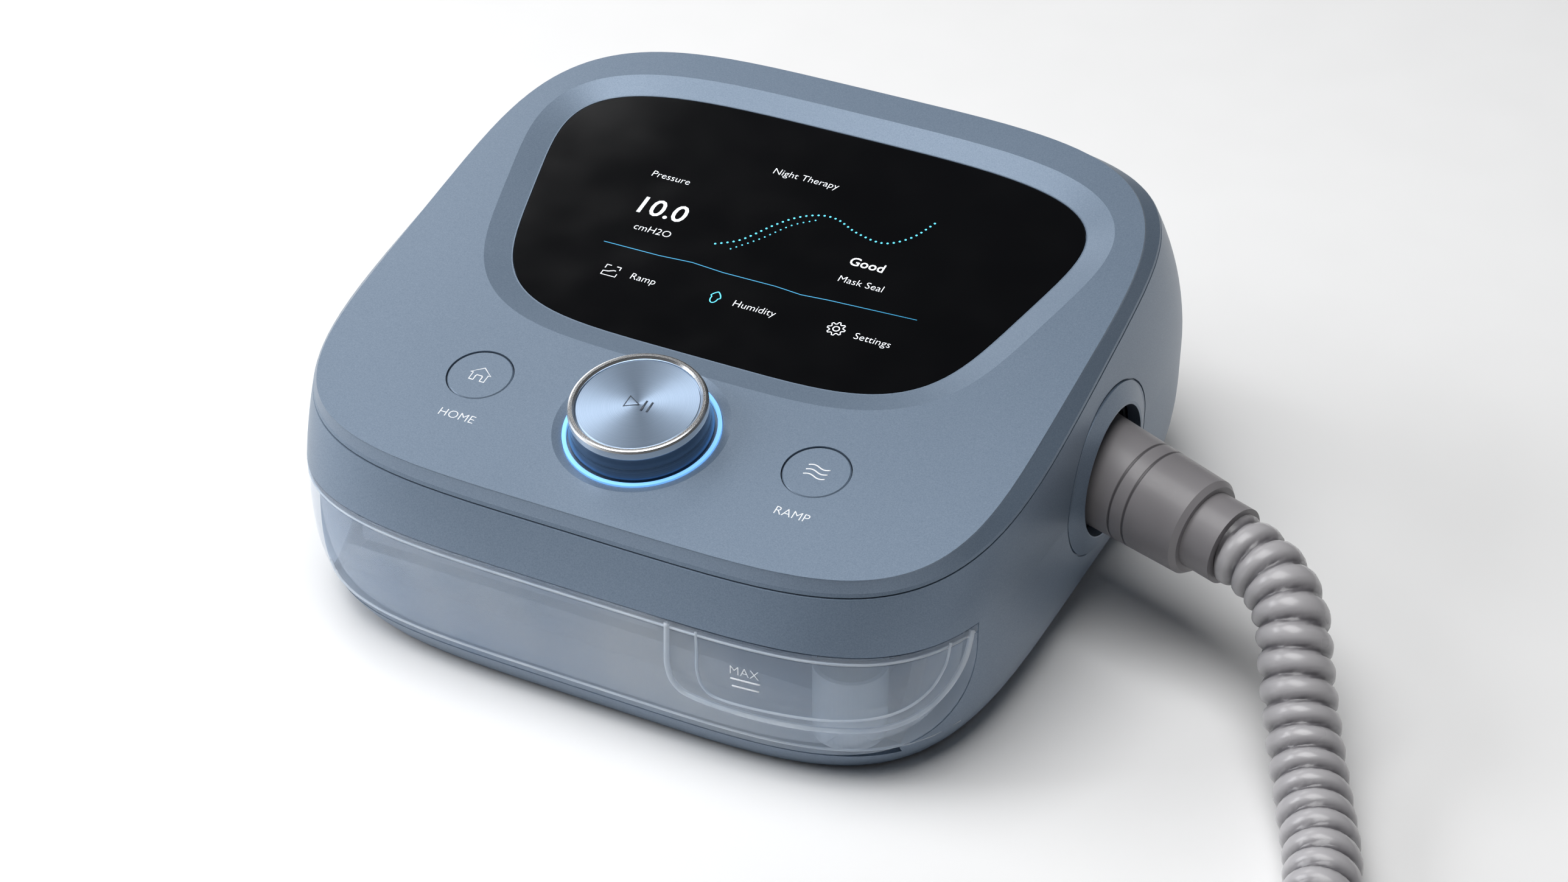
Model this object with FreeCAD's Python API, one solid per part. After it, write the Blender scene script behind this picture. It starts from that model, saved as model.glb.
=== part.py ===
import FreeCAD, Part
import math
import os
from FreeCAD import Placement, Rotation, Vector as V

# Bedside positive-pressure ventilator with a humidifier tank, an air hose and a tilted control deck.
# Millimetres, +Z up, +X to the hose side, -Y to the user. Origin: centre of the footprint, under the feet.

# ---- driving dimensions: body ----
HALF_WIDTH, HALF_DEPTH = 104.0, 106.3     # outline at the seam between base and upper housing
CORNER_POWER = 4.5                        # superellipse power of the rounded-square outline
SEAM_Z = 45.0                             # top of base and tank, bottom of the upper housing
BASE_BOTTOM = 1.0                         # the feet stand 1 mm proud of the base
FOOT_INSET = 9.5                          # how far the outline draws in at the floor
WALL = 2.5
STRIP_Z = 8.75                            # top of the narrow base strip under the tank
DECK_Z, DECK_TILT = 83.45, 11.0           # deck height above the origin and its slope
COVER_DROP = 4.9                          # the cover's lower edge below the deck
COVER_GAP = 0.5                           # shadow gap between cover and upper housing
DECK_HALF_U, DECK_HALF_V, DECK_V = 99.2, 90.7, -11.2

# ---- driving dimensions: controls ----
KNOB_V, KNOB_TOP = -67.3, 9.2
SHAFT_R, TRAVEL = 3.0, 0.8
BUTTON_U, BUTTON_V, BUTTON_R = 50.0, -65.5, 9.0
GLASS_V, GLASS_HALF_V, GLASS_HALF_U, GLASS_TAPER = 12.1, 48.6, 76.0, 0.25
GLASS_DROP, GLASS_THICK, BEVEL_WIDTH = 1.8, 1.8, 8.5
BOARD_W = -12.0                           # top face of the display board, below the deck

# ---- driving dimensions: tank, blower and air path ----
TANK_SIDE_Y, TANK_CORNER_R = -72.0, 29.0  # where the tank meets the base walls, and its lower corner
TANK_HALF, TANK_BACK_Y, TANK_BOTTOM, TANK_TOP = 85.5, -14.5, 9.05, 44.6
TANK_WALL = 2.0
BLOWER = V(-18, 45, 0)
PORT = V(104.5, 4.3, 44.0)                # where the hose axis passes the right wall
PORT_YAW, PORT_PITCH = 18.0, 3.0          # the outlet points forward and slightly down
BEZEL_HALF_Y, BEZEL_HALF_Z, BEZEL_TURN = 28.2, 24.5, -18.0
HOLE_HALF_Y, HOLE_HALF_Z = 20.4, 18.4
BEZEL_X, BEZEL_Z = 103.8, 45.6            # where the rim rises from the wall, and its centre height
PORT_LEAN = math.tan(math.radians(PORT_YAW))
SPIGOT_R, RUN_GAP = 11.0, 0.05            # 22 mm outlet taper as a plain cylinder, and its running gap

# ---- driving dimensions: hose ----
HOSE_R = 10.0
SLEEVE_R_IN, SLEEVE_R_OUT, SLEEVE_LENGTH = 15.5, 13.8, 33.4
COLLAR_R, COLLAR_LENGTH = 11.0, 9.4
COIL_CENTRE, COIL_R, COIL_SPAN, COIL_Z = V(102.8, -300.5, 0), 81.1, 59.8, 11.3
EXIT_RUN = 11.0                           # straight length out of the collar
ROUTE = [(166.4, -21.6, 36.7), (172.0, -33.0, 27.5), (179.5, -46.0, 17.5), (188.2, -62.0, 11.4),
         (199.0, -84.0, 10.2), (203.6, -106.0, 10.2), (204.2, -131.0, 10.4), (203.0, -161.0, 10.7),
         (202.6, -196.0, 11.0), (203.2, -243.0, 11.2), (203.8, -300.0, 11.3)]
TIE_ANGLE = 200.0                         # where the strap goes round the coil, from +X
TAIL_START, TAIL_TURN, TAIL_Z = -30.0, 70.0, 31.2   # the free end lies on top of the coil
CUFF_RISE = 3.2                           # the cuff is thicker than the hose, so its axis is higher

DECK = Placement(V(0, 0, DECK_Z), Rotation(V(1, 0, 0), DECK_TILT))
DECK_NORMAL = DECK.Rotation.multVec(V(0, 0, 1))
STEPS = 72                                # points round an outline


def half_sizes(z):
    """Half width and half depth of the outer skin at height z."""
    if z <= SEAM_Z:
        inset = FOOT_INSET * (1 - z / SEAM_Z) ** 4
        return HALF_WIDTH - inset, HALF_DEPTH - inset
    rise = z - SEAM_Z
    return (HALF_WIDTH + 0.057 * rise - 0.0032 * rise ** 2,
            HALF_DEPTH - 0.339 * rise - 0.0032 * rise ** 2)


def polar(angle, half_a, half_b, power):
    """Radius of a superellipse in the direction of angle."""
    across, along = abs(math.cos(angle) / half_a), abs(math.sin(angle) / half_b)
    return (across ** power + along ** power) ** (-1 / power)


def angles():
    return [2 * math.pi * i / STEPS for i in range(STEPS)]


def closed_wire(points):
    curve = Part.BSplineCurve()
    curve.interpolate(points, PeriodicFlag=True)
    return Part.Wire(curve.toShape())


def section(z, inset=0.0):
    half_a, half_b = half_sizes(z)
    points = []
    for angle in angles():
        radius = polar(angle, half_a - inset, half_b - inset, CORNER_POWER)
        points.append(V(radius * math.cos(angle), radius * math.sin(angle), z))
    return closed_wire(points)


def skin(levels, inset=0.0):
    """Solid inside the outer skin between the first and last level."""
    return Part.makeLoft([section(z, inset) for z in levels], True, False)


def lower_skin(bottom, inset=0.0, top=SEAM_Z):
    inner_levels = [z for z in (3, 5.5, STRIP_Z, 14, 22, 33) if z > bottom + 1]
    return skin([bottom] + inner_levels + [top], inset)


def upper_skin(inset=0.0):
    return skin([SEAM_Z, 57, 69, 81, 93, 105], inset)


def box(x0, x1, y0, y1, z0, z1):
    return Part.makeBox(x1 - x0, y1 - y0, z1 - z0, V(x0, y0, z0))


def rod(radius, z0, z1, x=0.0, y=0.0):
    return Part.makeCylinder(radius, z1 - z0, V(x, y, z0))


def bar(radius, start, end):
    return Part.makeCylinder(radius, (end - start).Length, start, end - start)


def ring(outer, inner, z0, z1, x=0.0, y=0.0):
    return rod(outer, z0, z1, x, y).cut(rod(inner, z0 - 1, z1 + 1, x, y))


def join(shapes):
    return shapes[0].fuse(shapes[1:])


def on_deck(shape):
    """Place a shape drawn with u, v, w as x, y, z on the tilted deck."""
    placed = shape.copy()
    placed.Placement = DECK.multiply(placed.Placement)
    return placed


def above_deck(w):
    return on_deck(box(-200, 200, -200, 200, w, w + 200))


def save(name, shape):
    """Write one node, given a solid or a list of separate solids."""
    shape = Part.makeCompound(shape) if isinstance(shape, list) else shape
    if not shape.isValid():
        print("invalid:", name)
    shape.exportStep("parts/" + name + ".step")
    print(f"{name:22s} {len(shape.Solids)} solids {shape.Volume / 1000:9.2f} cm3")


# ---------------------------------------------------------------- outer shells
def skin_radius(angle, w, inset):
    """Radius, in the plane w of the deck about its centre, at which the outer skin lies."""
    low, high = 20.0, 160.0
    for _ in range(40):
        radius = (low + high) / 2
        point = DECK.multVec(V(radius * math.cos(angle), DECK_V + radius * math.sin(angle), w))
        half_a, half_b = half_sizes(point.z)
        inside = abs(point.x / half_a) ** CORNER_POWER + abs(point.y / half_b) ** CORNER_POWER < 1
        low, high = (radius, high) if inside else (low, radius)
    return low - inset


def cover_wire(w, blend, inset=0.0):
    """Outline between the skin (blend 0) and the deck's own outline (blend 1), in deck coordinates."""
    points = []
    for angle in angles():
        power = 4.7 if math.sin(angle) < 0 else 4.16
        deck_radius = polar(angle, DECK_HALF_U, DECK_HALF_V, power) - inset
        radius = (1 - blend) * skin_radius(angle, w, inset) + blend * deck_radius
        points.append(V(radius * math.cos(angle), DECK_V + radius * math.sin(angle), w))
    return closed_wire(points)


def glass_wire(w, grow=0.0):
    """Outline of the screen glass: a tapered superellipse, wider at the back, grown outwards."""
    outline = []
    for angle in angles():
        power = 4.6 if math.sin(angle) < 0 else 3.8
        radius = polar(angle, 1.0, 1.0, power)
        v = GLASS_V + GLASS_HALF_V * radius * math.sin(angle)
        half_u = GLASS_HALF_U + GLASS_TAPER * (v - GLASS_V)
        outline.append(V(half_u * radius * math.cos(angle), v, w))
    points = []
    for i, point in enumerate(outline):
        along = outline[(i + 1) % STEPS] - outline[i - 1]
        normal = V(along.y, -along.x, 0).normalize()
        points.append(point + normal * grow)
    return closed_wire(points)


def glass_prism(w0, w1, grow=0.0):
    return Part.makeLoft([glass_wire(w0, grow), glass_wire(w1, grow)], True, True)


def top_cover():
    levels = [(-COVER_DROP, 0.0), (-4.1, 0.04), (-0.5, 0.9), (0.0, 1.0)]
    cover = Part.makeLoft([cover_wire(w, blend) for w, blend in levels], True, True)
    hollow = Part.makeLoft([cover_wire(-6.0, 0.0, 2.6), cover_wire(-2.6, 0.45, 2.6)], True, True)
    lip_outer = Part.makeLoft([cover_wire(-9.0, 0.0, 3.6), cover_wire(-2.0, 0.0, 3.6)], True, True)
    lip_inner = Part.makeLoft([cover_wire(-9.5, 0.0, 5.1), cover_wire(-1.5, 0.0, 5.1)], True, True)
    seat = glass_prism(-5.4, -2.0, 3.0)
    knob_pad = rod(25, -4.2, -2.0, 0, KNOB_V)
    bosses = [rod(3, BOARD_W, -2.0, u, v) for u, v in BOARD_HOLES]
    cover = join([cover.cut(hollow), lip_outer.cut(lip_inner), seat, knob_pad] + bosses)
    bevel = Part.makeLoft([glass_wire(0.3, BEVEL_WIDTH + 0.8), glass_wire(-GLASS_DROP, 0.6)], True, True)
    glass_pocket = glass_prism(-GLASS_DROP - GLASS_THICK - 0.1, -1.0, 0.25)
    window = glass_prism(-6.0, -3.0, -6.0)
    dish = Part.makeCone(21.3 - 0.6, 24.6, 1.4, V(0, KNOB_V, -1.1))
    knob_recess = rod(21.3, -1.6, 1, 0, KNOB_V)
    shaft_hole = rod(5.4, -8, 1, 0, KNOB_V)
    holes = [rod(BUTTON_R + 0.3, -8, 1, u, BUTTON_V) for u in (-BUTTON_U, BUTTON_U)]
    screws = [rod(1.0, BOARD_W - 1, -4, u, v) for u, v in BOARD_HOLES]
    for tool in [bevel, glass_pocket, window, dish, knob_recess, shaft_hole] + holes + screws:
        cover = cover.cut(tool)
    return on_deck(cover)


def ellipse_prism(x0, x1, half_y0, half_z0, half_y1, half_z1, lean=0.0):
    """Elliptical frustum round the port, turned like the bezel; lean shifts it back as it goes in."""
    wires = []
    for x, half_y, half_z in ((x0, half_y0, half_z0), (x1, half_y1, half_z1)):
        centre_y = PORT.y + lean * (PORT.x - x)
        turn = math.radians(BEZEL_TURN)
        points = []
        for angle in angles()[::2]:
            y, z = half_y * math.cos(angle), half_z * math.sin(angle)
            points.append(V(x, centre_y + y * math.cos(turn) - z * math.sin(turn),
                            BEZEL_Z + y * math.sin(turn) + z * math.cos(turn)))
        wires.append(closed_wire(points))
    return Part.makeLoft(wires, True, True)


def even_prism(x0, x1, shrink=0.0, lean=0.0, half_y=HOLE_HALF_Y, half_z=HOLE_HALF_Z):
    half_y, half_z = half_y - shrink, half_z - shrink
    return ellipse_prism(x0, x1, half_y, half_z, half_y, half_z, lean)


def bezel():
    """Raised oval rim round the port; the seam splits it between the two housings."""
    root = even_prism(101.9, BEZEL_X, 0.0, 0.0, BEZEL_HALF_Y, BEZEL_HALF_Z)
    rim = ellipse_prism(BEZEL_X, 105.9, BEZEL_HALF_Y, BEZEL_HALF_Z, HOLE_HALF_Y + 0.6, HOLE_HALF_Z + 0.6)
    return root.fuse(rim)


def port_cut():
    hole = even_prism(90.5, 120, 0.0, PORT_LEAN)
    groove_outer = even_prism(103.0, 110, -0.25, 0.0, BEZEL_HALF_Y, BEZEL_HALF_Z)
    groove_inner = even_prism(102, 111, 0.3, 0.0, BEZEL_HALF_Y, BEZEL_HALF_Z)
    return hole.fuse(groove_outer.cut(groove_inner))


def upper_housing():
    inside = upper_skin(WALL)
    shell = upper_skin().cut(inside).fuse(bezel().common(box(90, 120, -60, 60, SEAM_Z, 80)))
    return shell.cut(port_cut()).cut(above_deck(-COVER_DROP - COVER_GAP))


def tank_profile(grow):
    """Prism along X of the side view that the tank fills in front: square at the top,
    rounded at its lower rear corner."""
    rear, bottom, radius = TANK_SIDE_Y + grow, TANK_BOTTOM - 0.3 - grow, TANK_CORNER_R
    start, end = V(-120, rear, bottom + radius), V(-120, rear - radius, bottom)
    middle = V(-120, rear - radius * (1 - math.sqrt(0.5)), bottom + radius * (1 - math.sqrt(0.5)))
    front, top = -120, 60
    edges = [Part.LineSegment(V(-120, rear, top), start).toShape(), Part.Arc(start, middle, end).toShape(),
             Part.LineSegment(end, V(-120, front, bottom)).toShape(),
             Part.LineSegment(V(-120, front, bottom), V(-120, front, top)).toShape(),
             Part.LineSegment(V(-120, front, top), V(-120, rear, top)).toShape()]
    return Part.Face(Part.Wire(edges)).extrude(V(240, 0, 0))


def base_shell():
    inner_back = lower_skin(3.5, WALL, SEAM_Z + 2).common(box(-120, 120, -9.5, 120, 3.5, 60))
    inner_sides = lower_skin(3.5, WALL, SEAM_Z + 2).common(
        join([box(-120, -90, -68, 0, 3.5, 60), box(90, 120, -68, 0, 3.5, 60)]))
    bay = box(-TANK_HALF - 0.6, TANK_HALF + 0.6, -103, -13, STRIP_Z, 60)
    heater_pocket = box(-70, 70, -66, -18, 3.5, 20)
    base = lower_skin(BASE_BOTTOM).cut(tank_profile(0.0)).cut(bay).cut(inner_back).cut(inner_sides)
    rim = bezel().common(box(90, 120, -60, 60, 10, SEAM_Z))
    lugs = [box(-64.5, -56.5, 98.9, 102.6, 9, 13), box(-64.5, -56.5, 98.9, 102.6, 41, SEAM_Z)]
    base = join([base.cut(heater_pocket), rim] + lugs).cut(port_cut())
    door_hole = box(DOOR_X0, DOOR_X1, 90, 120, 13, 41)
    base = base.cut(door_hole).cut(box(52.7, 71.3, 90, 120, 14.7, 33.3))
    for z0, z1 in ((11.4, 13.5), (40.5, 42.6)):
        base = base.cut(rod(1.05, z0, z1, *DOOR_PIVOT))
    for x, y in TANK_PORTS:
        base = base.cut(bar(10.0, V(x, -20, 30), V(x, -5, 30)))
    for x, y in FEET:
        base = base.cut(rod(7.0, 0, 2.0, x, y))
    for x, y in CHASSIS_LEGS:
        base = base.cut(rod(1.6, 0, 5, x, y)).cut(rod(3.2, 0, 2.4, x, y))
    return base


def chassis():
    plate = skin([47.0, 49.0], WALL + 0.6)
    plate = plate.cut(box(48, 120, -16, 44, 40, 60)).cut(rod(36, 46, 50, BLOWER.x, BLOWER.y))
    legs = [rod(4.0, 3.6, 48, x, y) for x, y in CHASSIS_LEGS]
    posts = [rod(3.2, 48, 55, x, y) for x, y in BOARD_POSTS]
    holes = [rod(1.5, 3, 20, x, y) for x, y in CHASSIS_LEGS] + [rod(1.25, 49, 56, x, y) for x, y in BOARD_POSTS]
    return join([plate] + legs + posts).cut(join(holes))


BOARD_HOLES = [(-80, -82), (80, -82), (-84, 56), (84, 56)]
FEET = [(-72, -70), (72, -70), (-72, 70), (72, 70)]
CHASSIS_LEGS = [(-84, 5), (84, 48), (-83, 57), (48, 80)]
BOARD_POSTS = [(-62, 4), (36, 4), (-62, 62), (36, 62)]
TANK_PORTS = [(24, 0), (62, 0)]
DOOR_X0, DOOR_X1, DOOR_PIVOT = -62.2, -22.0, (-60.2, 102.4)


def feet():
    return [rod(6.9, 0, 2.0, x, y) for x, y in FEET]


def housing_screws():
    return [rod(3.0, 1.3, 2.4, x, y).fuse(rod(1.45, 2.4, 18, x, y)) for x, y in CHASSIS_LEGS]


# ---------------------------------------------------------------- deck parts
def disc(radius, w0, w1, u=0.0, v=0.0):
    return rod(radius, w0, w1, u, v)


def board_screws():
    return [on_deck(disc(2.4, BOARD_W - 3.2, BOARD_W - 1.6, u, v).fuse(disc(0.98, BOARD_W - 1.6, -5, u, v)))
            for u, v in BOARD_HOLES]


def display_board():
    board = box(-86, 86, -87, 61, BOARD_W - 1.6, BOARD_W)
    for u, v in BOARD_HOLES:
        board = board.cut(disc(1.2, BOARD_W - 3, BOARD_W + 1, u, v))
    return on_deck(board)


def lcd_module():
    frame = box(-60, 60, -26, 50, -11.6, -5.6)
    glass = box(-54, 54, -22, 46, -5.6, -4.0)
    return on_deck(join([frame, glass]))


def tact_switches():
    cases = []
    for u in (-BUTTON_U, BUTTON_U):
        case = box(u - 3.5, u + 3.5, BUTTON_V - 3.5, BUTTON_V + 3.5, BOARD_W, -9.0)
        cases.append(on_deck(case.cut(disc(1.8, -11.6, -8, u, BUTTON_V))))
    return cases


def button_cap(u):
    crown = Part.makeCone(BUTTON_R, BUTTON_R - 0.35, 0.35, V(u, BUTTON_V, -0.45))
    cap = [disc(BUTTON_R, -3.2, -0.45, u, BUTTON_V), crown, disc(BUTTON_R + 1.3, -4.2, -3.1, u, BUTTON_V),
           disc(2.4, -8.0, -4.0, u, BUTTON_V)]
    return on_deck(join(cap))


def button_plunger(u):
    return on_deck(disc(1.74, -10.5, -8.0, u, BUTTON_V))


def encoder_body():
    case = box(-6.6, 6.6, KNOB_V - 6.6, KNOB_V + 6.6, BOARD_W, -5.0)
    return on_deck(case.cut(disc(5.05, BOARD_W, -4, 0, KNOB_V)))


def encoder_plunger():
    return on_deck(ring(5.0, SHAFT_R + RUN_GAP, -11.0, -3.4, 0, KNOB_V))


def knob_shaft():
    return on_deck(disc(SHAFT_R, -9.8, 5.0, 0, KNOB_V).fuse(disc(4.2, -3.3, -2.4, 0, KNOB_V)))


def knob_skirt():
    """Turned skirt, open below, with a hub on the shaft."""
    outer = [(0, -0.3), (19.2, -0.3), (19.3, 0.3), (18.6, 3.2), (18.25, 6.0), (0, 6.0)]
    body = revolve(outer)
    body = body.cut(revolve([(0, -1), (17.4, -1), (17.0, 3.6), (0, 3.6)]).cut(revolve([(0, -1), (5.2, -1),
                    (5.2, 4), (0, 4)])))
    return on_knob(body.cut(rod(SHAFT_R, -2, 5.0)).cut(rod(5.3, -2, 0.4)))


def knob_ring():
    profile = [(16.7, 6.0), (18.3, 6.0), (18.6, 6.5), (18.6, 8.5), (18.25, 9.1), (17.9, KNOB_TOP),
               (17.2, KNOB_TOP), (16.7, 8.6)]
    return on_knob(revolve(profile))


def knob_disc():
    return on_knob(revolve([(0, 6.0), (16.65, 6.0), (16.65, 8.2), (16.2, 8.45), (0, 8.3)]))


def light_ring():
    return on_knob(ring(21.1, 20.0, -1.6, -0.45))


def revolve(points):
    """Turn a closed outline of (radius, height) points about the vertical axis."""
    corners = [V(r, 0, z) for r, z in points]
    face = Part.Face(Part.makePolygon(corners + [corners[0]]))
    return face.revolve(V(0, 0, 0), V(0, 0, 1), 360)


def on_knob(shape):
    moved = shape.copy()
    moved.Placement = Placement(V(0, KNOB_V, 0), Rotation()).multiply(moved.Placement)
    return on_deck(moved)


# ---------------------------------------------------------------- humidifier tank
def tank_body(inset, bottom, top):
    """Front block flush with the body, and a box behind it, both drawn in by inset."""
    front = lower_skin(bottom, inset + 0.05, top).common(tank_profile(-0.35 - inset))
    rear = box(-TANK_HALF + inset, TANK_HALF - inset, -85, TANK_BACK_Y - inset, bottom, top)
    return front.fuse(rear)


def tank_tub():
    tub = tank_body(0, TANK_BOTTOM, 41.8).cut(tank_body(TANK_WALL, TANK_BOTTOM + 2.2, 50))
    return tub.cut(box(-52, 52, -58, -22, 0, 10.5))


def tank_lid():
    lid = tank_body(0, 42.4, TANK_TOP)
    for x, y in TANK_PORTS:
        lid = lid.cut(box(x - 6, x + 6, -30, -20, 40, 43.6))
    return lid


def tank_seal():
    return tank_body(0.3, 41.85, 42.35).cut(tank_body(1.7, 41, 43))


def tank_with_ports():
    tub = tank_tub()
    for x, y in TANK_PORTS:
        tub = tub.cut(bar(7.0, V(x, -20, 30), V(x, -10, 30)))
    return tub


def tank_heat_base():
    return box(-51.9, 51.9, -57.9, -22.1, TANK_BOTTOM, 10.45)


def tank_baffle():
    """Shelf tray under the lid that stops waves of water reaching the air path."""
    tray = box(-70, 20, -96, -66, 31, 41.7)
    return tray.cut(box(-68.5, 18.5, -94.5, -67.5, 32.5, 50))


def tank_port_seals():
    return [ring_along_y(9.95, 7.0, -14.1, -9.5, x, 30) for x, y in TANK_PORTS]


def ring_along_y(outer, inner, y0, y1, x, z):
    return bar(outer, V(x, y0, z), V(x, y1, z)).cut(bar(inner, V(x, y0 - 1, z), V(x, y1 + 1, z)))


def heater_frame():
    frame = box(-69.7, 69.7, -65.7, -18.3, 5.8, 8.7)
    return frame.cut(box(-50.1, 50.1, -57.1, -22.9, 0, 20))


def heater_plate():
    return box(-50, 50, -57, -23, 7.0, 8.75)


# ---------------------------------------------------------------- blower and air path
def at_blower(shape):
    moved = shape.copy()
    moved.translate(BLOWER)
    return moved


def blower_lower():
    body = rod(38, 6, 26).cut(rod(35, 20, 30)).cut(rod(17, 8.6, 17))
    return at_blower(body.cut(rod(5, 6.8, 20.5)))


def blower_upper():
    body = rod(38, 26, 38).cut(rod(35, 25, 35.6)).cut(rod(13, 30, 40))
    return at_blower(body)


def blower_mounts():
    spots = [(28 * math.cos(math.radians(a)), 28 * math.sin(math.radians(a))) for a in (45, 135, 225, 315)]
    return [at_blower(rod(5, 3.5, 6.0, x, y)) for x, y in spots]


def motor_stator():
    core = ring(16.9, 12.5, 9.5, 16.5)
    teeth = [Part.makeBox(4.0, 3, 7, V(9.0, -1.5, 9.5)) for _ in range(6)]
    for i, tooth in enumerate(teeth):
        tooth.rotate(V(0, 0, 0), V(0, 0, 1), 60 * i)
    return at_blower(join([core] + teeth))


def rotor_bearings():
    return [at_blower(ring(5, 2.03, z, z + 1.7)) for z in (6.85, 17.5)]


def impeller():
    wheel = [rod(31, 21.0, 22.4), rod(7, 21.0, 31)]
    for i in range(9):
        blade = Part.makeBox(23.5, 1.4, 9.5, V(6, -0.7, 21.5))
        blade.rotate(V(6, 0, 0), V(0, 0, 1), -28)
        blade.rotate(V(0, 0, 0), V(0, 0, 1), 40 * i)
        wheel.append(blade)
    return at_blower(join(wheel).cut(rod(2, 15, 40)))


def rotor_shaft():
    return at_blower(rod(2, 7.0, 31.5))


def rotor_magnet():
    return at_blower(ring(8.7, 2, 9.8, 16.2))


def inlet_duct():
    outer = [box(-58, -26, 70, 86.2, 18, 46), box(-58, -5, 32, 86.2, 38.2, 46)]
    inner = [box(-56.5, -27.5, 71.5, 90, 19.5, 44.5), box(-56.5, -6.5, 33.5, 84.5, 39.7, 44.5)]
    duct = join(outer).cut(join(inner)).cut(rod(13, 30, 41, BLOWER.x, BLOWER.y))
    return duct.cut(at_blower(rod(38.2, 0, 38.1)))


def blower_outlet():
    x, z = TANK_PORTS[0][0], 30
    tube = bar(8.6, V(x, -9.4, z), V(x, 30, z)).cut(bar(7.0, V(x, -12, z), V(x, 40, z)))
    return tube.cut(at_blower(rod(38.1, 0, 60)))


def flow_sensor():
    return box(16, 32, -4, 12, 38.9, 44.5)


def port_axis():
    yaw, pitch = math.radians(PORT_YAW), math.radians(PORT_PITCH)
    return V(math.cos(pitch) * math.cos(yaw), -math.cos(pitch) * math.sin(yaw), -math.sin(pitch))


def along_port(distance):
    return PORT + port_axis() * distance


def pipe_through(points, radius):
    runs = [bar(radius, start, end) for start, end in zip(points, points[1:])]
    balls = [Part.makeSphere(radius, point) for point in points[1:-1]]
    return join(runs + balls)


def humid_duct():
    start = V(TANK_PORTS[1][0], -9.4, 30)
    path = [start, start + V(0, 20, 2), along_port(-36), along_port(-30)]
    duct = pipe_through(path, 9.5).cut(pipe_through([start - V(0, 2, 0.2)] + path[1:3] + [along_port(-29)], 8.0))
    return duct.cut(box(0, 120, -30, -9.4, 0, 80)).cut(bar(17.2, along_port(-29.9), along_port(-15)))


def outlet_spigot():
    tube = bar(SPIGOT_R, along_port(-29.9), along_port(-3.0))
    flange = bar(13.5, along_port(-28), along_port(-25.5))
    return join([tube, flange]).cut(bar(9.0, along_port(-31), along_port(0)))


def port_liner():
    """Dark oval cup behind the bezel, closed round the spigot's flange."""
    outer = even_prism(91, 101, 0.2, PORT_LEAN)
    inner = even_prism(92.4, 103, 1.5, PORT_LEAN)
    return outer.cut(inner).cut(bar(17.2, along_port(-40), along_port(-5)))


def filter_box():
    shell = box(-63.5, -20.5, 86.5, 98.5, 12.5, 41.5).cut(box(-61, -23, 88.5, 99, 15, 39))
    return shell.cut(box(-54, -30, 80, 90, 20, 34)).common(lower_skin(3.5, WALL + 0.4, SEAM_Z))


def air_filter():
    return box(-60.8, -23.2, 90, 97.5, 15.2, 38.8)


def filter_cover():
    x, y = DOOR_PIVOT
    plate = lower_skin(BASE_BOTTOM).common(box(x, DOOR_X1 - 0.3, 101.0, 110, 13.3, 40.7))
    for i in range(5):
        z = 18.5 + 4.2 * i
        plate = plate.cut(box(-52, -28, 90, 120, z, z + 1.8))
    knuckle = rod(1.6, 13.3, 40.7, x, y)
    pins = rod(1.0, 11.7, 42.3, x, y)
    return join([plate, knuckle, pins])


def power_socket():
    body = box(53, 71, 88, 103, 15, 33)
    body = body.cut(bar(4.0, V(62, 93, 24), V(62, 110, 24)))
    return body.fuse(bar(1.0, V(62, 92, 24), V(62, 101.5, 24)))


# ---------------------------------------------------------------- electronics
def main_board():
    board = box(-68, 42, -2, 68, 55, 56.6)
    for x, y in BOARD_POSTS:
        board = board.cut(rod(1.4, 50, 60, x, y))
    return board


def main_board_screws():
    return [rod(2.5, 56.6, 58.4, x, y).fuse(rod(1.2, 50, 56.6, x, y)) for x, y in BOARD_POSTS]


def board_parts():
    chip = box(-30, -14, 20, 36, 56.6, 58)
    driver = box(0, 12, 26, 38, 56.6, 58.2)
    relay = box(14, 26, 46, 62, 56.6, 63)
    capacitors = [rod(4, 56.6, 67, x, 54) for x in (-48, -38, -28)]
    connector = box(-20, 8, 6, 12, 56.6, 61)
    return [chip, driver, relay, connector] + capacitors


# ---------------------------------------------------------------- hose
def hose_sleeve():
    """Rubber swivel connector: slightly tapered, with a socket for the outlet and one for the collar."""
    start, end = along_port(-13.0), along_port(SLEEVE_LENGTH)
    axis = port_axis()
    nose = Part.makeCone(SLEEVE_R_IN, SLEEVE_R_OUT, SLEEVE_LENGTH + 11.5, along_port(-13.0), axis)
    lip = Part.makeCone(SLEEVE_R_OUT, SLEEVE_R_OUT - 1.2, 1.5, along_port(SLEEVE_LENGTH - 1.5), axis)
    body = nose.fuse(lip)
    body = body.cut(bar(SPIGOT_R + RUN_GAP, start - axis, along_port(-2.4)))
    body = body.cut(bar(COLLAR_R + RUN_GAP, along_port(SLEEVE_LENGTH - 12), end + axis))
    return body.cut(bar(8.5, start, end))


def hose_collar():
    body = bar(COLLAR_R, along_port(SLEEVE_LENGTH - 11.9), along_port(SLEEVE_LENGTH + COLLAR_LENGTH))
    return body.cut(bar(8.5, along_port(0), along_port(80)))


def route_points():
    """Corner points of the free hose: out of the collar, down to the floor and on to the coil."""
    exits = [along_port(SLEEVE_LENGTH + COLLAR_LENGTH + run) for run in (0, EXIT_RUN)]
    return exits + [V(*point) for point in ROUTE]


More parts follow.
